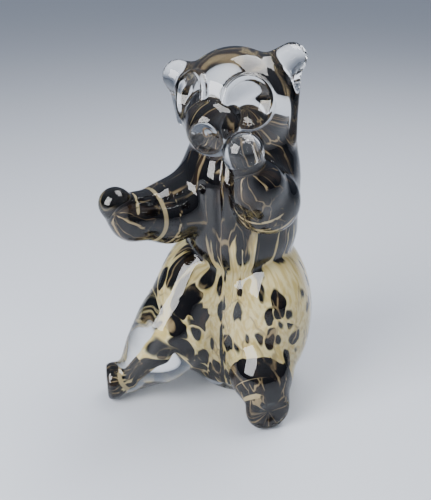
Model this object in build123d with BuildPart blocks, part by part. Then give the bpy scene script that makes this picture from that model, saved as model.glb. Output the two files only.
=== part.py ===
import os

from build123d import *

# A seated bear of hot-worked art glass, all of it fused. It faces -Y, its own left side is +X,
# and the origin is the middle of the ground face that it sits on. Millimetres.

# Body gather, as elliptical sections: half width (X), half depth (Y) and height
seat_half_width, seat_half_depth = 27.0, 24.0
roll_half_width, roll_half_depth, roll_height = 39.0, 33.0, 10.0
hip_half_width, hip_half_depth, hip_height = 48.0, 41.0, 52.0
waist_half_width, waist_half_depth, waist_height = 33.5, 32.0, 101.0
chest_half_width, chest_half_depth, chest_height = 36.0, 34.0, 138.0
neck_half_width, neck_half_depth, neck_height = 27.0, 26.0, 170.0

# Glass layers
body_casing_wall = 6.0
body_overlay_wall = 2.0
seat_wall = 8.0
neck_wall = 7.0
arm_casing_wall = 4.5
leg_casing_wall = 4.0
limb_overlay_wall = 1.5

# Head, with two pressed eye hollows, each inside a raised ring
head_radius = 32.0
head_centre = Vector(-1, -6, 188)
head_turn = -4.0
eye_turn, eye_lift = 33.0, 15.0
eye_rim_radius = 11.5
eye_ring_thickness = 4.0
eye_tool_radius = 16.0

# Muzzle, a short round stub pulled out of the face
muzzle_radius = 16.0
muzzle_reach = 43.0
muzzle_drop = 13.0
muzzle_round = 8.0

# Ears: a knob drawn up from the head, and a fin trailed down its side
ear_radius = 8.4
ear_root_radius = 11.0
fin_top_radius = 6.5
fin_tip_radius = 2.6
left_ear_centre = Vector(28, 4, 213.5)
left_fin_tip = Vector(31, -1, 170)
right_ear_centre = Vector(-34.5, -9, 202)
right_fin_tip = Vector(-33.5, -6, 178)

# Arms: stations along the middle of each limb, and the radius at each one
right_arm_route = [(-18, -12, 133), (-34, -31, 127), (-45, -50, 130), (-48.5, -56.5, 135)]
right_arm_radii = [18.0, 16.0, 11.5, 8.0]
left_arm_route = [(16, -8, 138), (28, -32, 144), (26, -48.5, 158), (22.5, -54.5, 169)]
left_arm_radii = [18.0, 17.0, 12.5, 8.5]
right_paw_radius, right_paw_centre = 8.5, (-51.5, -60, 141)
left_paw_radius, left_paw_centre = 10.5, (20.5, -57, 177)

# Legs: the last station is the flat sole
right_leg_route = [(-18, -10, 38), (-41, -29, 25), (-57, -42, 14.5), (-73, -50, 12)]
right_leg_radii = [29.0, 21.5, 10.5, 12.0]
left_leg_route = [(16, -8, 38), (25, -25, 31), (30.5, -36, 20), (36.5, -47.5, 13.5)]
left_leg_radii = [25.0, 19.0, 14.0, 13.5]

# How far along its route each limb's coloured glass runs, from 0 to 1
arm_core_end = 0.9
leg_core_end = 1.0

up = Vector(0, 0, 1)


def body_gather(wall=0.0, base=0.0, top=0.0):
    """The body's outline pulled in by a wall, with its own floor and ceiling."""
    sections = [
        (seat_half_width, seat_half_depth, base),
        (roll_half_width, roll_half_depth, base + roll_height),
        (hip_half_width, hip_half_depth, hip_height),
        (waist_half_width, waist_half_depth, waist_height),
        (chest_half_width, chest_half_depth, chest_height),
        (neck_half_width, neck_half_depth, neck_height - top),
    ]
    with BuildPart() as gather:
        for half_width, half_depth, height in sections:
            with BuildSketch(Plane.XY.offset(height)):
                Ellipse(half_width - wall, half_depth - wall)
        loft()
    return gather.part


def limb_planes(route, end=1.0):
    """A plane across the limb at each station, the last one a share of the way along."""
    with BuildLine() as middle:
        Spline(*route)
    line = middle.edge()
    shares = [line.param_at_point(Vector(point)) for point in route[:-1]] + [end]
    planes = []
    for share in shares:
        along = line % share
        planes.append(Plane(line @ share, x_dir=up.cross(along), z_dir=along))
    return planes


def limb_rod(route, radii, wall=0.0, end=1.0):
    """A tapered rod of glass that follows a smooth curve through the route."""
    with BuildPart() as rod:
        for plane, radius in zip(limb_planes(route, end), radii):
            with BuildSketch(plane):
                Circle(radius - wall)
        loft()
    return rod.part


def head_point(turn, lift, distance):
    """A point at a distance from the head's centre, turned from the front and lifted."""
    direction = Vector(0, -1, 0).rotate(Axis.X, -lift).rotate(Axis.Z, turn)
    return head_centre + direction * distance


# Body: black glass core, spotted overlay and clear casing
overlay_outside = body_gather(body_casing_wall, seat_wall, neck_wall)
core_outside = body_gather(
    body_casing_wall + body_overlay_wall,
    seat_wall + body_overlay_wall,
    neck_wall + body_overlay_wall,
)
body_outside = body_gather()

limbs = {
    "right_arm": (right_arm_route, right_arm_radii, arm_casing_wall, arm_core_end),
    "left_arm": (left_arm_route, left_arm_radii, arm_casing_wall, arm_core_end),
    "right_leg": (right_leg_route, right_leg_radii, leg_casing_wall, leg_core_end),
    "left_leg": (left_leg_route, left_leg_radii, leg_casing_wall, leg_core_end),
}
limb_outsides, limb_overlays, limb_cores = {}, {}, {}
for name, (route, radii, wall, end) in limbs.items():
    limb_outsides[name] = limb_rod(route, radii)
    limb_overlays[name] = limb_rod(route, radii, wall, end)
    limb_cores[name] = limb_rod(route, radii, wall + limb_overlay_wall, end)

finished = []


def finish(builder, label):
    """Names a finished piece and keeps it for writing."""
    builder.part.label = label
    finished.append(builder.part)


with BuildPart() as body_core:
    add(core_outside)
finish(body_core, "body_core")

with BuildPart() as body_overlay:
    add(overlay_outside)
    add(core_outside, mode=Mode.SUBTRACT)
finish(body_overlay, "body_overlay")

with BuildPart() as body_casing:
    add(body_outside)
    add(overlay_outside, mode=Mode.SUBTRACT)
    for overlay in limb_overlays.values():
        add(overlay, mode=Mode.SUBTRACT)
finish(body_casing, "body_casing")

# Limbs: each one's colour starts on the body's overlay, its casing on the body's casing
for name in limbs:
    with BuildPart() as limb_core:
        add(limb_cores[name])
        add(overlay_outside, mode=Mode.SUBTRACT)
    finish(limb_core, name + "_core")

    with BuildPart() as limb_overlay:
        add(limb_overlays[name])
        add(overlay_outside, mode=Mode.SUBTRACT)
        add(limb_cores[name], mode=Mode.SUBTRACT)
    finish(limb_overlay, name + "_overlay")

    with BuildPart() as limb_casing:
        add(limb_outsides[name])
        add(body_outside, mode=Mode.SUBTRACT)
        add(limb_overlays[name], mode=Mode.SUBTRACT)
    finish(limb_casing, name + "_casing")

# Paws: clear knobs, each with a flat set against the end of its arm
paws = {"right": (right_paw_radius, right_paw_centre), "left": (left_paw_radius, left_paw_centre)}
for side, (radius, centre) in paws.items():
    arm_route = limbs[side + "_arm"][0]
    with BuildPart() as paw:
        with Locations(centre):
            Sphere(radius)
        split(bisect_by=limb_planes(arm_route)[-1], keep=Keep.TOP)
    finish(paw, side + "_paw")

# Head: a clear ball on the neck, with a ring laid round each eye and a hollow pressed inside it
eye_rim_height = (head_radius**2 - eye_rim_radius**2) ** 0.5
eye_tool_height = (eye_tool_radius**2 - eye_rim_radius**2) ** 0.5
with BuildPart() as head:
    with Locations(head_centre):
        Sphere(head_radius)
    for side in (-1, 1):
        turn = head_turn + side * eye_turn
        outward = head_point(turn, eye_lift, 1) - head_centre
        with Locations(Plane(head_centre + outward * eye_rim_height, z_dir=outward)):
            Torus(eye_rim_radius + eye_ring_thickness / 2, eye_ring_thickness / 2)
        with Locations(head_centre + outward * (eye_rim_height + eye_tool_height)):
            Sphere(eye_tool_radius, mode=Mode.SUBTRACT)
    add(body_outside, mode=Mode.SUBTRACT)
finish(head, "head")

# Muzzle: starts inside the head's outline and is cut back to it
with BuildPart() as muzzle:
    nose = head_point(head_turn, -muzzle_drop, 1) - head_centre
    with BuildSketch(Plane(head_centre, z_dir=nose)):
        Circle(muzzle_radius)
    extrude(amount=muzzle_reach)
    fillet(muzzle.faces().sort_by(Axis(head_centre, nose))[-1].edges(), muzzle_round)
    with Locations(head_centre):
        Sphere(head_radius, mode=Mode.SUBTRACT)
    add(head.part, mode=Mode.SUBTRACT)
    add(body_outside, mode=Mode.SUBTRACT)
finish(muzzle, "muzzle")

# Ears
ears = {"right": (right_ear_centre, right_fin_tip), "left": (left_ear_centre, left_fin_tip)}
for side, (centre, fin_tip) in ears.items():
    stalk = centre - head_centre
    fin = fin_tip - centre
    with BuildPart() as ear:
        with BuildSketch(Plane(head_centre + stalk / 2, z_dir=stalk)):
            Circle(ear_root_radius)
        with BuildSketch(Plane(centre, z_dir=stalk)):
            Circle(ear_radius)
        loft()
        with Locations(centre):
            Sphere(ear_radius)
        with BuildSketch(Plane(centre, z_dir=fin)):
            Circle(fin_top_radius)
        with BuildSketch(Plane(fin_tip, z_dir=fin)):
            Circle(fin_tip_radius)
        loft()
        with Locations(fin_tip):
            Sphere(fin_tip_radius)
        with Locations(head_centre):
            Sphere(head_radius, mode=Mode.SUBTRACT)
        add(head.part, mode=Mode.SUBTRACT)
        add(body_outside, mode=Mode.SUBTRACT)
    finish(ear, side + "_ear")

os.makedirs("parts", exist_ok=True)
for piece in finished:
    export_step(piece, "parts/" + piece.label + ".step")
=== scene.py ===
import math

import bmesh
import bpy
import numpy as np
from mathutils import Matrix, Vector


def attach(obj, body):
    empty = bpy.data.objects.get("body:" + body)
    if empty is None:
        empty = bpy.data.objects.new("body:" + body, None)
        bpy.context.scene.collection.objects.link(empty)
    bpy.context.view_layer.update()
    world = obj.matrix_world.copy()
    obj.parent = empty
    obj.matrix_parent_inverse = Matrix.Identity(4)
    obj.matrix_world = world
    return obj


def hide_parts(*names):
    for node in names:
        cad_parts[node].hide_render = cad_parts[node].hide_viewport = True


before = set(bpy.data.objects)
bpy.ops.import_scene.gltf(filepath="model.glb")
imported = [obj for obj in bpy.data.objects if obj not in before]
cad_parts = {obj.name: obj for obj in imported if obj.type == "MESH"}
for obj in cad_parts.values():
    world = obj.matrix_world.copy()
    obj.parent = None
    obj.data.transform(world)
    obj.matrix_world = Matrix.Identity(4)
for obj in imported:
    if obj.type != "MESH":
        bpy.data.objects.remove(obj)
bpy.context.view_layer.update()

# ---------------------------------------------------------------------------------------
# Body: hips, waist, shoulders and neck, gathered in one go on the end of an iron.
# A dark core with a spotted skin, under a thick gather of clear crystal. Sizes in mm.
# Softened glass has no joint lines, so fuse() melts two shapes over a stated width.


def fuse(one, other, width):
    """Two shapes melted together. A shape is the distance to its surface, minus inside."""
    near = np.maximum(width - np.abs(one - other), 0) / width
    return np.minimum(one, other) - near**3 * width / 6


def press(glass, tool, width):
    """What is left of soft glass after a tool is pressed in, with a rounded rim."""
    return -fuse(-glass, tool, width)


def ball(p, centre, radii):
    """A ball of glass, drawn out along the axes by its three radii."""
    q = p - np.asarray(centre, float)
    radii = np.asarray(radii, float) * np.ones(3)
    near = np.linalg.norm(q / radii, axis=1)
    return near * (near - 1) / np.maximum(np.linalg.norm(q / radii**2, axis=1), 1e-9)


def rod(p, start, end, start_radius, end_radius):
    """A drawn rod with rounded ends that thins from one radius to another."""
    start, end = np.asarray(start, float), np.asarray(end, float)
    axis = end - start
    length2 = axis @ axis
    thinning = start_radius - end_radius
    q = p - start
    y = q @ axis
    z = y - length2
    x2 = ((q * length2 - y[:, None] * axis) ** 2).sum(1)
    k = np.sign(thinning) * thinning**2 * x2
    a2 = length2 - thinning**2
    side = (np.sqrt(x2 * a2 / length2) + y * thinning) / length2 - start_radius
    end_cap = np.sqrt(x2 + z**2 * length2) / length2 - end_radius
    start_cap = np.sqrt(x2 + y**2 * length2) / length2 - start_radius
    out = np.where(np.sign(y) * a2 * y**2 * length2 < k, start_cap, side)
    return np.where(np.sign(z) * a2 * z**2 * length2 > k, end_cap, out)


def hump(x, middle, width):
    """One at the middle, fading to nothing over a stated width on each side."""
    return np.exp(-(((x - middle) / width) ** 2))


def on_midline(p, width):
    """How near points are to the crease down the middle of the front, from 0 to 1."""
    return hump(p[:, 0], -0.5, width) * np.clip(-p[:, 1] / 15 - 1, 0, 1)


crease_depth, crease_width = 1.3, 2.3


def body_shape(p, wall=0.0, melt=1.0):
    """The body, sunk in by a wall, with its joins melted over wider or narrower bands."""
    chest = rod(p, (2, 1, 114), (1, 0, 143), 34 - wall, 34.5 - wall)
    neck = rod(p, (1, 1, 146), (3, 5, 170), 30 - wall, 28 - wall)
    hips = ball(p, (0, 6, 52), (47 - wall, 37 - wall, 64 - wall))
    right_thigh = ball(p, (-23, -9, 55), (26 - wall, 28 - wall, 46 - wall))
    left_thigh = ball(p, (23, -8, 56), (26 - wall, 27 - wall, 46 - wall))
    thighs = fuse(right_thigh, left_thigh, 2.5 * melt)
    body = fuse(fuse(chest, neck, 16 * melt), fuse(hips, thighs, 6 * melt), 6 * melt)
    return body + crease_depth * on_midline(p, crease_width)


# ---------------------------------------------------------------------------------------
# Arms: a rod of the same dark glass under clear crystal, stuck on at each shoulder while
# soft and bent forwards. The right arm reaches out, the left one up to the chin.

arms = {
    "right_arm": [(-18, -10, 134), (-34, -30, 127), (-46, -51, 130.5), (-49, -56, 134)],
    "left_arm": [(16, -8, 138), (26.5, -32, 143), (25, -48, 157), (22.5, -54, 167)],
}
arm_radii = {"right_arm": [21, 17, 12.5, 9.5], "left_arm": [20, 17, 13, 9.5]}


def limb(p, route, radii, wall=0.0, melt=9):
    """A limb along a route, as rods end to end melted into one."""
    out = rod(p, route[0], route[1], radii[0] - wall, radii[1] - wall)
    for i in range(1, len(route) - 1):
        stretch = rod(p, route[i], route[i + 1], radii[i] - wall, radii[i + 1] - wall)
        out = fuse(out, stretch, melt)
    return out


# ---------------------------------------------------------------------------------------
# Paws: a round knob at the end of each arm, in clear crystal with no colour in it.
# Each is a hot bit dropped on the wrist and left to draw itself round.

paws = {"right_paw": ((-51.5, -60, 141), 9.4), "left_paw": ((20.5, -57, 177), 10.6)}

# ---------------------------------------------------------------------------------------
# Legs: thick cones of cased glass drawn out of the hips, necked at the ankle and flattened
# on a paddle into a round foot. Each sole is dished a little where the iron was broken off.

legs = {
    "right_leg": [(-20, -6, 80), (-34, -23, 46), (-42, -30, 32), (-58, -42, 14.5)],
    "left_leg": [(20, -12, 44), (26, -30, 29), (30.5, -37, 20)],
}
leg_radii = {"right_leg": [25, 24, 20.5, 10], "left_leg": [24, 18, 11.5]}
feet = {
    "right_leg": (np.array((-68, -47.5, 12)), np.array((-0.853, -0.522, 0)), 12.0),
    "left_leg": (np.array((34.5, -43.5, 13.6)), np.array((0.6, -0.8, 0)), 13.6),
}
# The foot's half thickness, then along the toe from its middle: the sole and the dish tool
foot_half, sole, dish, dish_radius = 8.0, 4.0, 16.0, 14


def leg_shape(p, name):
    """A leg melted into its round foot, with the sole pressed flat and dished."""
    centre, toe, radius = feet[name]
    along = (p - centre) @ toe
    across = np.linalg.norm(p - centre - along[:, None] * toe, axis=1)
    pad = (np.sqrt((across / radius) ** 2 + (along / foot_half) ** 2) - 1) * foot_half
    leg = fuse(limb(p, legs[name], leg_radii[name], 0, 10), pad, 8)
    leg = press(leg, sole - along, 1.6)
    return press(leg, ball(p, centre + toe * dish, dish_radius), 1.0)


# ---------------------------------------------------------------------------------------
# Head: one clear ball with no colour in it, set on the neck. A ring of crystal is laid
# round each eye, and the eye is a hollow pressed inside it with a round tool.

head_centre = np.array((-1.0, -6.0, 188.0))
head_radii = (32, 31, 31.5)
eye_turns, eye_lift = (-40, 32.5), 15
ring_radius, ring_height, ring_thickness = 12.7, 28.8, 2.2
eye_tool_radius, eye_tool_height = 14.6, 39.6


def face_way(turn, lift):
    """Which way a feature points, turned to the bear's left and lifted, in degrees."""
    turn, lift = math.radians(turn), math.radians(lift)
    level = math.cos(lift)
    return np.array((math.sin(turn) * level, -math.cos(turn) * level, math.sin(lift)))


def head_shape(p):
    head = ball(p, head_centre, head_radii)
    for turn in eye_turns:
        way = face_way(turn, eye_lift)
        q = p - head_centre
        along = q @ way
        across = np.linalg.norm(q - along[:, None] * way, axis=1)
        ring = np.hypot(across - ring_radius, along - ring_height) - ring_thickness
        head = fuse(head, ring, 1.6)
        head = press(head, ball(p, head_centre + way * eye_tool_height, eye_tool_radius), 1.0)
    return head


# ---------------------------------------------------------------------------------------
# Muzzle: a short thick stub on the front of the head, in clear crystal. It is a bit
# dropped on while hot, pushed flat at the end and dimpled with a round tool.

nose_way = face_way(-4, -13)
muzzle_end, nose_tool_radius, nose_tool_height = 42.5, 20, 59.5


def muzzle_shape(p):
    root = head_centre + nose_way * 16 - (4, 0, 2)
    stub = rod(p, root, head_centre + nose_way * 29, 18.5, 15.5)
    stub = press(stub, muzzle_end - (p - head_centre) @ nose_way, 3)
    return press(stub, ball(p, head_centre + nose_way * nose_tool_height, nose_tool_radius), 1.2)


# ---------------------------------------------------------------------------------------
# Ears: round knobs of clear crystal, stuck on the head while hot. The bit that makes each
# ear is trailed on down the side of the head, which leaves a thin fin behind the cheek.
# Each ear here is the middle of its knob, the tip of its fin and the knob's radius.

ears = {
    "right_ear": (np.array((-34, -9, 202)), np.array((-33.5, -7, 176)), 9.0),
    "left_ear": (np.array((28, 4, 213.5)), np.array((31, -1, 170)), 8.4),
}


def ear_shape(p, centre, fin_tip, radius):
    root = head_centre + (centre - head_centre) * 0.55
    knob = rod(p, root, centre, radius + 4, radius)
    fin = rod(p, centre, fin_tip, radius - 2.5, 2.6)
    return fuse(knob, fin, 4)


# ---------------------------------------------------------------------------------------
# Clear crystal: the outside of every piece above, fire polished into one skin. It is
# shaped whole, then parted where each bit was stuck on, so that each piece is its own
# closed glass. The parted faces are fused in the real figure, so they don't show.

MM = 0.001
fine = 1.2
at_once = 300000


def crystal_shape(p):
    out = body_shape(p)
    for name, route in arms.items():
        out = fuse(out, limb(p, route, arm_radii[name]), 9)
    for name in legs:
        out = fuse(out, leg_shape(p, name), 8)
    for centre, radius in paws.values():
        out = fuse(out, ball(p, centre, radius), 5)
    head = fuse(head_shape(p), muzzle_shape(p), 2)
    for ear in ears.values():
        head = fuse(head, ear_shape(p, *ear), 6)
    return press(fuse(out, head, 8), p[:, 2], 3)


def outward(shape, p, reach=0.05):
    """How far points are from a surface, and the way straight out of it."""
    g = np.stack([shape(p + d) - shape(p - d) for d in np.eye(3) * reach], 1) / (2 * reach)
    length = np.maximum(np.linalg.norm(g, axis=1), 1e-6)
    return shape(p) / length, g / length[:, None]


def skin(shape, low, high, step):
    """A closed skin of four-sided faces over a shape, with about one face to a step."""
    low, high = np.asarray(low, float), np.asarray(high, float)
    counts = np.ceil((high - low) / step).astype(int) + 1
    axes = [low[i] + step * np.arange(counts[i]) for i in range(3)]
    grid = np.stack(np.meshgrid(*axes, indexing="ij"), -1).reshape(-1, 3)
    batches = [grid[i : i + at_once] for i in range(0, len(grid), at_once)]
    values = np.concatenate([shape(batch) for batch in batches]).reshape(counts)
    inside = values < 0

    # One point in each cell that the surface runs through, midway between its crossings
    cells = counts - 1
    total, hits = np.zeros((*cells, 3)), np.zeros(cells)
    for axis in range(3):
        for u in (0, 1):
            for v in (0, 1):
                near = [u, v]
                near.insert(axis, 0)
                far = list(near)
                far[axis] = 1
                windows = [tuple(slice(c, c + n) for c, n in zip(at, cells)) for at in (near, far)]
                a, b = (values[window] for window in windows)
                crossing = (a < 0) != (b < 0)
                share = np.where(crossing, a / np.where(crossing, a - b, 1), 0)
                for d in range(3):
                    total[..., d] += crossing * (share if d == axis else near[d])
                hits += crossing
    active = hits > 0
    index = np.full(cells, -1)
    index[active] = np.arange(active.sum())
    points = low + step * (np.argwhere(active) + total[active] / hits[active][:, None])

    # One face round each grid line that the surface crosses
    quads = []
    for axis in range(3):
        u, v = ((1, 2), (2, 0), (0, 1))[axis]
        first = [slice(1, -1)] * 3
        first[axis] = slice(0, -1)
        second = list(first)
        second[axis] = slice(1, None)
        leaving = inside[tuple(first)]
        base = np.argwhere(leaving != inside[tuple(second)])
        outwards = leaving[tuple(base.T)]
        base += 1
        base[:, axis] -= 1
        ring = []
        for du, dv in ((-1, -1), (0, -1), (0, 0), (-1, 0)):
            at = base.copy()
            at[:, u] += du
            at[:, v] += dv
            ring.append(index[tuple(at.T)])
        ring = np.stack(ring, 1)
        ring[~outwards] = ring[~outwards][:, ::-1]
        quads.append(ring)

    # The points are then drawn onto the true surface
    for _ in range(3):
        distance, way = outward(shape, points)
        points = points - way * np.clip(distance, -step, step)[:, None]
    mesh = bpy.data.meshes.new("skin")
    mesh.from_pydata(points.tolist(), [], np.concatenate(quads).tolist())
    glass = bmesh.new()
    glass.from_mesh(mesh)
    bpy.data.meshes.remove(mesh)
    return glass


def cap(glass):
    """Closes the open ends of a parted piece with flat faces of the second material."""
    edges = [e for e in glass.edges if e.is_boundary]
    for face in bmesh.ops.holes_fill(glass, edges=edges, sides=0)["faces"]:
        face.material_index = 1


def part_off(glass, at, way, reach, tip):
    """Parts the piece that holds a tip from the glass, across a plane near a point."""
    at, way, tip = Vector(at), Vector(way).normalized(), Vector(tip)
    faces = {f for v in glass.verts if (v.co - at).length < reach for f in v.link_faces}
    geom = [*faces, *{e for f in faces for e in f.edges}, *{v for f in faces for v in f.verts}]
    cut = bmesh.ops.bisect_plane(glass, geom=geom, plane_co=at, plane_no=way, dist=1e-4)
    cut = {e for e in cut["geom_cut"] if isinstance(e, bmesh.types.BMEdge)}
    first = min(glass.faces, key=lambda f: (f.calc_center_median() - tip).length_squared)
    share, todo = {first}, [first]
    while todo:
        for edge in todo.pop().edges:
            if edge not in cut:
                for face in edge.link_faces:
                    if face not in share:
                        share.add(face)
                        todo.append(face)
    piece = bmesh.new()
    known = {}
    for face in share:
        for v in face.verts:
            if v not in known:
                known[v] = piece.verts.new(v.co)
        piece.faces.new([known[v] for v in face.verts]).material_index = face.material_index
    bmesh.ops.delete(glass, geom=list(share), context="FACES")
    cap(piece)
    cap(glass)
    return piece


def finish_piece(name, glass, shape, looks, cad_node):
    """Makes the object for a parted piece, smooth outside and flat on its parted faces."""
    bmesh.ops.recalc_face_normals(glass, faces=glass.faces)
    mesh = bpy.data.meshes.new(name)
    glass.to_mesh(mesh)
    glass.free()
    count = len(mesh.vertices)
    points = np.empty(count * 3)
    mesh.vertices.foreach_get("co", points)
    points = points.reshape(-1, 3)
    way = outward(shape, points)[1]
    corners = np.empty(len(mesh.loops), int)
    mesh.loops.foreach_get("vertex_index", corners)
    normals = way[corners]
    for face in mesh.polygons:
        if face.material_index:
            normals[list(face.loop_indices)] = face.normal
    mesh.vertices.foreach_set("co", (points * MM).ravel())
    mesh.polygons.foreach_set("use_smooth", [True] * len(mesh.polygons))
    mesh.update()
    mesh.normals_split_custom_set(normals.tolist())
    for look in looks:
        mesh.materials.append(look)
    piece = bpy.data.objects.new(name, mesh)
    bpy.context.collection.objects.link(piece)
    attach(piece, "root")
    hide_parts(cad_node)
    return piece, points


def new_look(name):
    look = bpy.data.materials.new(name)
    look.use_nodes = True
    return look, look.node_tree, look.node_tree.nodes["Principled BSDF"]


def new_group(name, inputs, outputs):
    group = bpy.data.node_groups.new(name, "ShaderNodeTree")
    for label, kind in inputs:
        group.interface.new_socket(label, in_out="INPUT", socket_type=kind)
    for label, kind in outputs:
        group.interface.new_socket(label, in_out="OUTPUT", socket_type=kind)
    return group, group.nodes.new("NodeGroupInput"), group.nodes.new("NodeGroupOutput")


# Slow waves left by the flame, and the fine cords that every hand gather has in it
waves, given, put_out = new_group(
    "flame_waves",
    [("Vector", "NodeSocketVector"), ("Strength", "NodeSocketFloat")],
    [("Normal", "NodeSocketVector"), ("Roughness", "NodeSocketFloat")],
)
slow = waves.nodes.new("ShaderNodeTexNoise")
slow.inputs["Scale"].default_value = 45
slow.inputs["Detail"].default_value = 1.0
cords = waves.nodes.new("ShaderNodeTexWave")
cords.inputs["Scale"].default_value = 22
cords.inputs["Distortion"].default_value = 9
cords.inputs["Detail"].default_value = 1.5
both = waves.nodes.new("ShaderNodeMath")
both.operation = "MULTIPLY_ADD"
both.inputs[1].default_value = 0.12
raised = waves.nodes.new("ShaderNodeBump")
raised.inputs["Distance"].default_value = 0.0012
smears = waves.nodes.new("ShaderNodeMapRange")
smears.inputs["From Min"].default_value = 0.62
smears.inputs["From Max"].default_value = 0.8
smears.inputs["To Min"].default_value = 0.0
smears.inputs["To Max"].default_value = 0.035
for one, other in (
    (given.outputs["Vector"], slow.inputs["Vector"]),
    (given.outputs["Vector"], cords.inputs["Vector"]),
    (cords.outputs["Fac"], both.inputs[0]),
    (slow.outputs["Fac"], both.inputs[2]),
    (both.outputs["Value"], raised.inputs["Height"]),
    (given.outputs["Strength"], raised.inputs["Strength"]),
    (raised.outputs["Normal"], put_out.inputs["Normal"]),
    (slow.outputs["Fac"], smears.inputs["Value"]),
    (smears.outputs["Result"], put_out.inputs["Roughness"]),
):
    waves.links.new(one, other)


def crystal_look(name, strength):
    look, tree, glass = new_look(name)
    glass.inputs["Transmission Weight"].default_value = 1.0
    glass.inputs["IOR"].default_value = 1.52
    glass.inputs["Base Color"].default_value = (0.985, 0.99, 0.985, 1)
    place = tree.nodes.new("ShaderNodeTexCoord")
    flame = tree.nodes.new("ShaderNodeGroup")
    flame.node_tree = waves
    flame.inputs["Strength"].default_value = strength
    tree.links.new(place.outputs["Object"], flame.inputs["Vector"])
    tree.links.new(flame.outputs["Normal"], glass.inputs["Normal"])
    tree.links.new(flame.outputs["Roughness"], glass.inputs["Roughness"])
    return look


thick_crystal = crystal_look("thick_crystal", 0.25)
head_crystal = crystal_look("head_crystal", 0.12)
fused_seam, _, unseen = new_look("fused_seam")
unseen.inputs["Alpha"].default_value = 0.0

# Where each bit was stuck on: a point on the joint, the way across it, how far it reaches,
# a point at the bit's tip, and the solid that the bit stands for
partings = {}
for side in ("right", "left"):
    wrist, paw = arms[side + "_arm"][3], paws[side + "_paw"][0]
    way = np.subtract(paw, wrist)
    partings[side + "_paw"] = wrist + way * 0.3, way, 21, paw + way * 0.8, side + "_paw"
tips = {name: route[3] for name, route in arms.items()}
tips.update({name: foot[0] + foot[1] * 6 for name, foot in feet.items()})
for name, at, way, reach in (
    ("right_arm", (-32, -27.6, 128), (-16, -20, -7), 27),
    ("left_arm", (26.5, -32, 143), (12, -24, 5), 27),
    ("right_leg", (-48, -34.5, 25.5), (-16, -12, -17.5), 27),
    ("left_leg", (28.5, -33.5, 23.8), (4.5, -10, -9), 26),
):
    partings[name] = at, way, reach, tips[name], name + "_casing"
for name, ear in ears.items():
    way = ear[0] - head_centre
    partings[name] = head_centre + way * 0.92, way, 20, ear[0] + way * 0.2, name
nose_tip = head_centre + nose_way * 44
partings["muzzle"] = head_centre + nose_way * 31.5, nose_way, 24, nose_tip, "muzzle"
partings["head"] = (0, 0, 166), (0, 0, 1), 400, (-1, -6, 222), "head"

glass = skin(crystal_shape, (-90, -80, -6), (60, 55, 228), fine)
crystal = {}
for name, (at, way, reach, tip, cad_node) in partings.items():
    crystal[name] = part_off(glass, at, way, reach, tip), cad_node
crystal["body"] = glass, "body_casing"
clear_right_through = ("head", "muzzle", "right_ear", "left_ear")
for name, (piece, cad_node) in crystal.items():
    look = head_crystal if name in clear_right_through else thick_crystal
    looks = look, fused_seam
    finish_piece(name + "_crystal", piece, crystal_shape, looks, cad_node)

# ---------------------------------------------------------------------------------------
# Coloured glass inside: a black core rolled in cream powder and black chips. The chips
# stay round over the hips and draw out into streaks where the glass was necked down.
# Each limb's core follows the limb, with a radius of its own at each point.

cores = {
    "right_arm": (arms["right_arm"], [17, 13.5, 9, 5.5]),
    "left_arm": (arms["left_arm"], [16.5, 13.5, 9.5, 5.5]),
    "right_leg": (legs["right_leg"] + [feet["right_leg"][0]], [5, 6, 5, 3.5, 8]),
    "left_leg": (legs["left_leg"] + [feet["left_leg"][0]], [19, 14, 9.5, 11.5]),
}
clear_wall, clear_base, skin_thickness = 6.5, 7, 2.0
neck_top, core_sole = 166, 1.5


def colour_shape(p, deeper=0.0):
    """All the coloured glass inside the crystal, or what lies deeper inside it."""
    out = body_shape(p, clear_wall + deeper, 1.4)
    out = press(out, p[:, 2] - clear_base - deeper, 4)
    for name, (route, radii) in cores.items():
        coloured = limb(p, route, radii, deeper * 0.75, 6)
        if name in feet:
            centre, toe = feet[name][:2]
            coloured = press(coloured, core_sole - deeper * 0.5 - (p - centre) @ toe, 0.8)
        out = fuse(out, coloured, 7)
    nape = rod(p, (3, 3, 140), (0, 9, 163), 24 - deeper, 19.5 - deeper)
    return fuse(press(out, neck_top - deeper - p[:, 2], 10), nape, 8)


def core_shape(p):
    return colour_shape(p, skin_thickness)


def step_up(x, start, end):
    """Nothing up to the start, one from the end on, and an easy slope between them."""
    t = np.clip((x - start) / (end - start), 0, 1)
    return t * t * (3 - 2 * t)


def drawn_body(points):
    """Where the body's chips lie in the sheet before it was drawn, and how much is cream."""
    x, y, z = points.T

    # The sheet was rolled on a cylinder, then drawn out most of all at the waist
    angle = np.arctan2(y - 1, x - 1)
    rolled_radius, step = 33, 0.5
    heights = np.arange(0, 180 + step, step)
    draw = 2.5 + 5.5 * hump(heights, 101, 15) + 1.5 * step_up(heights, 110, 135)
    rise = np.interp(z, heights, np.cumsum(step / draw)) * 1.15
    sheet = np.stack((np.cos(angle) * rolled_radius, np.sin(angle) * rolled_radius, rise), 1)

    # Cream lies thick over the hips, more on the left, and runs up in streaks past the waist
    left = step_up(x, -10, 8)
    hips = 0.72 + 0.2 * left - 0.13 * step_up(x, 20, 36)
    low = 1 - 0.28 * (1 - step_up(z, 14, 46)) * (1 - 0.4 * left)
    streaks = hump(z, 110, 15) * (0.3 + 0.26 * left)
    left_knee = np.linalg.norm(points - (28, -41, 25), axis=1)
    cream = hips * low * (1 - step_up(z, 86, 106)) * step_up(left_knee, 18, 20.5) + streaks
    cream = cream + 0.14 * step_up(z, 136, 150) + 0.16 * step_up(z, 156, 172)
    cream = cream * (1 - 0.85 * on_midline(points, 1.9))
    return sheet, np.clip(cream, 0, 1)


no_thread = 9.0


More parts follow.
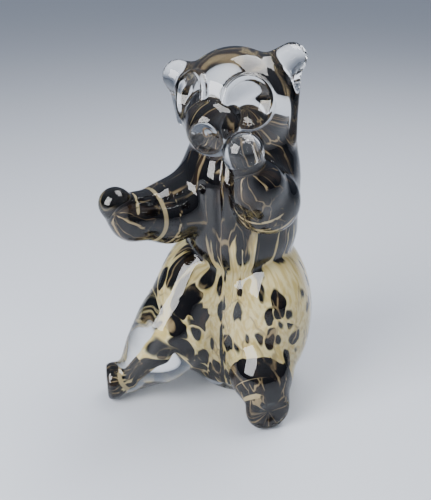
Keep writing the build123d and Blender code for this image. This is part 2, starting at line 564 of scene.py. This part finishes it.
def drawn_limb(points, route, cream_at, threads):
    """The same for a limb, measured along its route, and how near the trailed threads are."""
    route = np.array(route, float)
    best = np.full(len(points), 1e9)
    along, around = np.zeros(len(points)), np.zeros(len(points))
    gone = 0.0
    for start, end in zip(route, route[1:]):
        axis = end - start
        length = np.linalg.norm(axis)
        axis /= length
        t = (points - start) @ axis
        held = np.clip(t, 0, length)
        off = points - start - held[:, None] * axis
        distance = np.linalg.norm(off, axis=1)
        side = np.cross(axis, (0, 0, 1.0))
        side /= np.linalg.norm(side)
        angle = np.arctan2(off @ np.cross(side, axis), off @ side)
        nearer = distance < best
        best = np.where(nearer, distance, best)
        along = np.where(nearer, gone + t, along)
        around = np.where(nearer, angle, around)
        gone += length
    rolled_radius = 16
    sheet = (np.cos(around) * rolled_radius, np.sin(around) * rolled_radius, along * 0.5)
    share = along / gone
    trail = np.full(len(points), no_thread)
    for place, width, middle, spread in threads:
        wobble = 0.014 * np.sin(around * 2 + place * 40)
        beside = np.abs(share - place + wobble) / width
        turned = np.abs((around - middle + np.pi) % (2 * np.pi) - np.pi)
        trail = np.minimum(trail, beside + np.maximum(turned - spread, 0) * 4)
    return np.stack(sheet, 1), np.clip(np.interp(share, *cream_at), 0, 1), trail


chips, given, put_out = new_group(
    "cream_and_chips",
    [
        ("Sheet", "NodeSocketVector"),
        ("Cream", "NodeSocketFloat"),
        ("Trail", "NodeSocketFloat"),
        ("Chip Scale", "NodeSocketFloat"),
        ("Streak", "NodeSocketFloat"),
    ],
    [
        ("Color", "NodeSocketColor"),
        ("Height", "NodeSocketFloat"),
        ("Roughness", "NodeSocketFloat"),
    ],
)


def new_node(kind, **values):
    new = chips.nodes.new(kind)
    for key, value in values.items():
        setattr(new, key, value)
    return new


def wire(out, into):
    chips.links.new(out, into)


def maths(operation, first, second=0.5, third=0.5):
    new = new_node("ShaderNodeMath", operation=operation)
    for socket, value in zip(new.inputs, (first, second, third)):
        if isinstance(value, (int, float)):
            socket.default_value = value
        else:
            wire(value, socket)
    return new.outputs["Value"]


def smooth(value, low, high, start=0.0, end=1.0):
    new = new_node("ShaderNodeMapRange", interpolation_type="SMOOTHSTEP")
    wire(value, new.inputs["Value"])
    limits = {"From Min": low, "From Max": high, "To Min": start, "To Max": end}
    for label, number in limits.items():
        new.inputs[label].default_value = number
    return new.outputs["Result"]


def blend_colour(share, first, second):
    """From the first colour to the second. Sockets 6, 7 and 2 are the ones for colours."""
    new = new_node("ShaderNodeMix", data_type="RGBA")
    wire(share, new.inputs["Factor"])
    for socket, value in ((new.inputs[6], first), (new.inputs[7], second)):
        if isinstance(value, tuple):
            socket.default_value = value
        else:
            wire(value, socket)
    return new.outputs[2]


def noise(over, scale, detail):
    new = new_node("ShaderNodeTexNoise")
    new.inputs["Scale"].default_value = scale
    new.inputs["Detail"].default_value = detail
    wire(over, new.inputs["Vector"])
    return new.outputs


# The sheet was stirred a little by the heat, so nothing in it runs quite straight
stir = noise(given.outputs["Sheet"], 0.11, 2)
centred = new_node("ShaderNodeVectorMath", operation="SUBTRACT")
centred.inputs[1].default_value = (0.5, 0.5, 0.5)
wire(stir["Color"], centred.inputs[0])
stirred = new_node("ShaderNodeVectorMath", operation="MULTIPLY_ADD")
stirred.inputs[1].default_value = (7, 7, 7)
wire(centred.outputs["Vector"], stirred.inputs[0])
wire(given.outputs["Sheet"], stirred.inputs[2])
sheet = stirred.outputs["Vector"]

# Black chips lie in the cream, no two alike. Where there is less cream they close up
chip = new_node("ShaderNodeTexVoronoi")
chip.inputs["Randomness"].default_value = 0.9
wire(sheet, chip.inputs["Vector"])
wire(given.outputs["Chip Scale"], chip.inputs["Scale"])
lot = new_node("ShaderNodeSeparateColor")
wire(chip.outputs["Color"], lot.inputs["Color"])
wander = maths("SUBTRACT", noise(given.outputs["Sheet"], 0.045, 1)["Fac"], 0.5)
cream = maths("MULTIPLY_ADD", wander, 0.36, given.outputs["Cream"])
size = maths("MULTIPLY_ADD", cream, -0.78, 1.06)
size = maths("MULTIPLY_ADD", maths("SUBTRACT", lot.outputs["Red"], 0.5), 0.34, size)
edge = maths("SUBTRACT", size, chip.outputs["Distance"])
black = smooth(edge, -0.045, 0.045)

# Thin tan lines run between the chips, and come and go
lines = new_node("ShaderNodeTexVoronoi", feature="DISTANCE_TO_EDGE")
lines.inputs["Scale"].default_value = 0.1
wire(sheet, lines.inputs["Vector"])
thin = maths("SUBTRACT", 1.0, smooth(lines.outputs["Distance"], 0.012, 0.04))
fade = noise(sheet, 0.16, 3)["Fac"]
thin = maths("MULTIPLY", thin, smooth(fade, 0.42, 0.62))
thin = maths("MULTIPLY", thin, given.outputs["Streak"])

# The powder's own grain, from deep yellow to cream, and tan where it was drawn out thin
deep_yellow, pale_cream = (0.74, 0.58, 0.22, 1), (0.92, 0.81, 0.45, 1)
drawn_tan, line_tan = (0.40, 0.30, 0.16, 1), (0.42, 0.31, 0.16, 1)
thread_cream = (0.62, 0.50, 0.27, 1)
jet, brown_black = (0.004, 0.003, 0.004, 1), (0.030, 0.017, 0.009, 1)
grain = noise(sheet, 0.5, 5)["Fac"]
ivory = blend_colour(smooth(grain, 0.35, 0.65), deep_yellow, pale_cream)
ivory = blend_colour(smooth(cream, 0.25, 0.6), drawn_tan, ivory)
coloured = blend_colour(black, ivory, blend_colour(smooth(fade, 0.5, 0.72), jet, brown_black))
coloured = blend_colour(thin, coloured, line_tan)
on_thread = smooth(given.outputs["Trail"], 0.8, 1.15, 1.0, 0.0)
coloured = blend_colour(on_thread, coloured, thread_cream)
wire(coloured, put_out.inputs["Color"])
wire(smooth(edge, -0.12, 0.12), put_out.inputs["Height"])
wire(smooth(grain, 0.3, 0.7, 0.28, 0.5), put_out.inputs["Roughness"])


def spotted_look(name, chip_scale, streak):
    look, tree, glass = new_look(name)
    glass.inputs["Specular IOR Level"].default_value = 0.02
    pattern = tree.nodes.new("ShaderNodeGroup")
    pattern.node_tree = chips
    pattern.inputs["Chip Scale"].default_value = chip_scale
    pattern.inputs["Streak"].default_value = streak
    for attribute, output in (("sheet", "Vector"), ("cream", "Fac"), ("trail", "Fac")):
        read = tree.nodes.new("ShaderNodeAttribute")
        read.attribute_name = attribute
        tree.links.new(read.outputs[output], pattern.inputs[attribute.title()])
    raised = tree.nodes.new("ShaderNodeBump")
    raised.inputs["Strength"].default_value = 0.35
    raised.inputs["Distance"].default_value = 0.0008
    tree.links.new(pattern.outputs["Color"], glass.inputs["Base Color"])
    tree.links.new(pattern.outputs["Roughness"], glass.inputs["Roughness"])
    tree.links.new(pattern.outputs["Height"], raised.inputs["Height"])
    tree.links.new(raised.outputs["Normal"], glass.inputs["Normal"])
    return look


body_look = spotted_look("spotted_body_glass", 0.15, 0.8)
arm_look = spotted_look("streaked_arm_glass", 0.16, 0.5)
leg_look = spotted_look("streaked_leg_glass", 0.2, 0.8)


def swirled_look(name, scale, detail, dark, light):
    """Solid glass that swirls between two shades, each with its place on the ramp."""
    look, tree, glass = new_look(name)
    place = tree.nodes.new("ShaderNodeTexCoord")
    swirl = tree.nodes.new("ShaderNodeTexNoise")
    swirl.inputs["Scale"].default_value = scale
    swirl.inputs["Detail"].default_value = detail
    ramp = tree.nodes.new("ShaderNodeValToRGB")
    for stop, (position, colour) in zip(ramp.color_ramp.elements, (dark, light)):
        stop.position = position
        stop.color = colour
    tree.links.new(place.outputs["Object"], swirl.inputs["Vector"])
    tree.links.new(swirl.outputs["Fac"], ramp.inputs["Fac"])
    tree.links.new(ramp.outputs["Color"], glass.inputs["Base Color"])
    return look, glass


black_look, glass = swirled_look("black_core_glass", 70, 4, (0, jet), (1, (0.03, 0.018, 0.01, 1)))
glass.inputs["Specular IOR Level"].default_value = 0.2

cream_along = {
    "right_arm": ([0, 0.5, 0.75, 1], [0.08, 0.05, 0.12, 0.3]),
    "left_arm": ([0, 0.3, 0.5, 0.65, 0.8, 1], [0.06, 0.1, 0.2, 0.1, 0.1, 0.25]),
    "right_leg": ([0, 0.3, 0.6, 0.85, 0.95, 1], [0.5, 0.5, 0.3, 0.3, 0.5, 0.1]),
    "left_leg": ([0, 0.4, 0.6, 0.85, 0.93, 1], [0.1, 0.1, 0.15, 0.2, 0.25, -0.3]),
}
# Each thread: its share of the way along, its width, the middle of its arc and half its span
threads = {
    "right_arm": [(0.5, 0.012, 0, 4), (0.645, 0.022, 0, 4), (0.95, 0.015, 1.5, 1.2)],
    "left_arm": [(0.36, 0.014, -1.3, 1.1), (0.44, 0.024, -1.3, 1.0), (0.53, 0.014, -1.3, 1.2)],
    "right_leg": [(0.93, 0.016, 0, 4)],
    "left_leg": [(0.36, 0.012, 0, 4), (0.62, 0.008, 0, 4), (0.84, 0.035, 0.5, 0.45)],
}


def coloured_pieces(layer, shape, step):
    """Parts one layer of the coloured glass where its limbs were stuck on."""
    glass = skin(shape, (-86, -68, 0), (56, 48, 184), step)
    parted = {}
    for name, (route, _) in cores.items():
        parted[name] = part_off(glass, *partings[name][:3], route[-1])
    parted["body"] = glass
    finished = {}
    for name, piece in parted.items():
        look = {"body": body_look, "arm": arm_look, "leg": leg_look}[name.split("_")[-1]]
        slot = "spotted_glass"
        if layer == "core":
            look, slot = black_look, "black_glass"
        cad_node = f"{name}_{layer}"
        looks = look, look
        finished[name] = finish_piece(cad_node + "_glass", piece, shape, looks, cad_node)
    return finished


overlay_step, core_step = 1.8, 2.6
spotted = coloured_pieces("overlay", colour_shape, overlay_step)
for name, (piece, points) in spotted.items():
    if name == "body":
        rolled, creamy = drawn_body(points)
        trail = np.full(len(points), no_thread)
    else:
        rolled, creamy, trail = drawn_limb(points, cores[name][0], cream_along[name], threads[name])
    kept = piece.data.attributes
    kept.new("sheet", "FLOAT_VECTOR", "POINT").data.foreach_set("vector", rolled.ravel())
    kept.new("cream", "FLOAT", "POINT").data.foreach_set("value", creamy)
    kept.new("trail", "FLOAT", "POINT").data.foreach_set("value", trail)
coloured_pieces("core", core_shape, core_step)

# ---------------------------------------------------------------------------------------
# Painted refraction: a short curl of amber-brown glass in one loose turn inside the muzzle.
# It stands in for the body's cream veins seen through the muzzle, not a thread in the glass.

# The curl is painted refraction: an amber-brown image of the body's veins seen through the muzzle
curl_line = bpy.data.curves.new("painted_refraction_curl", "CURVE")
curl_line.dimensions = "3D"
curl_line.bevel_depth = 0.55 * MM
curl_line.bevel_resolution = 3
curl_line.use_fill_caps = True
refraction_spline = curl_line.splines.new("NURBS")
across = np.cross(nose_way, (0, 0, 1.0))
across /= np.linalg.norm(across)
above = np.cross(across, nose_way)
# Each point of the curl: how far across, how far up, and how thick it is there
curl_depth = 36
curl = [
    (-3.4, 2.2, 0.4),
    (-1.8, 4.6, 0.8),
    (1.4, 5.0, 1.1),
    (3.0, 2.6, 1.2),
    (2.4, -0.4, 1.1),
    (0.2, -1.4, 1.0),
    (-0.8, 0.4, 0.8),
    (0.6, 1.8, 0.4),
]
refraction_spline.points.add(len(curl) - 1)
for point, (side, rise, thickness) in zip(refraction_spline.points, curl):
    at = head_centre + nose_way * curl_depth + across * side + above * rise
    point.co = (*(at * MM), 1)
    point.radius = thickness
refraction_spline.order_u = 3
refraction_spline.use_endpoint_u = True
painted_refraction_curl = bpy.data.objects.new("painted_refraction_curl", curl_line)
bpy.context.collection.objects.link(painted_refraction_curl)
brown, pale_amber = (0.03, 0.012, 0.005, 1), (0.42, 0.26, 0.10, 1)
# Its amber-brown swirl is the colour of the painted refraction inside the muzzle
painted_refraction_look, glass = swirled_look("painted_refraction_glass", 420, 2, (0.35, brown), (0.7, pale_amber))
glass.inputs["Roughness"].default_value = 0.3
curl_line.materials.append(painted_refraction_look)
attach(painted_refraction_curl, "root")

# ---------------------------------------------------------------------------------------
# Floor: a plain pale sheet of painted board that the figure sits on. It has no pattern,
# so that nothing but the glass catches the eye.

floor_mesh = bpy.data.meshes.new("floor")
half = 3.0
corners = [(-half, -half, 0), (half, -half, 0), (half, half, 0), (-half, half, 0)]
floor_mesh.from_pydata(corners, [], [(0, 1, 2, 3)])
floor = bpy.data.objects.new("floor", floor_mesh)
bpy.context.collection.objects.link(floor)
floor_look, _, painted_board = new_look("pale_floor")
painted_board.inputs["Base Color"].default_value = (0.60, 0.63, 0.69, 1)
painted_board.inputs["Roughness"].default_value = 0.5
floor_mesh.materials.append(floor_look)

# ---------------------------------------------------------------------------------------
# Light: a plain soft studio that is darker near the ground, so the glass has dark edges.
# A window stands to the bear's right, and a soft box hangs above and behind.

world = bpy.data.worlds.new("studio")
bpy.context.scene.world = world
world.use_nodes = True
sky = world.node_tree
place = sky.nodes.new("ShaderNodeTexCoord")
height = sky.nodes.new("ShaderNodeSeparateXYZ")
tent = sky.nodes.new("ShaderNodeValToRGB")
tent.color_ramp.elements[0].color = (0.12, 0.15, 0.21, 1)
tent.color_ramp.elements[1].position = 0.75
tent.color_ramp.elements[1].color = (0.62, 0.68, 0.80, 1)
sky.links.new(place.outputs["Generated"], height.inputs["Vector"])
sky.links.new(height.outputs["Z"], tent.inputs["Fac"])
sky.links.new(tent.outputs["Color"], sky.nodes["Background"].inputs["Color"])
sky.nodes["Background"].inputs["Strength"].default_value = 0.65

chest_height = Vector((0, 0, 0.11))
for name, where, size, power in (
    ("window", (-0.36, -0.6, 0.5), (0.5, 0.6), 13),
    ("soft_box", (0.2, 0.3, 0.9), (0.6, 0.6), 10),
):
    light = bpy.data.lights.new(name, "AREA")
    light.shape = "RECTANGLE"
    light.size, light.size_y = size
    light.energy = power
    lamp = bpy.data.objects.new(name, light)
    lamp.location = where
    lamp.rotation_euler = (chest_height - Vector(where)).to_track_quat("-Z", "Y").to_euler()
    bpy.context.collection.objects.link(lamp)

# ---------------------------------------------------------------------------------------
# Camera: a little to the bear's left and above it, looking at the waist, and close enough
# that the bear takes up most of the picture.

look_at, distance = Vector((-0.0132, -0.0048, 0.095)), 0.45
back = Vector(face_way(20, 25))
camera = bpy.data.objects.new("camera", bpy.data.cameras.new("camera"))
camera.data.lens = 52
camera.location = look_at + back * distance
camera.rotation_euler = (-back).to_track_quat("-Z", "Y").to_euler()
bpy.context.collection.objects.link(camera)
bpy.context.scene.camera = camera
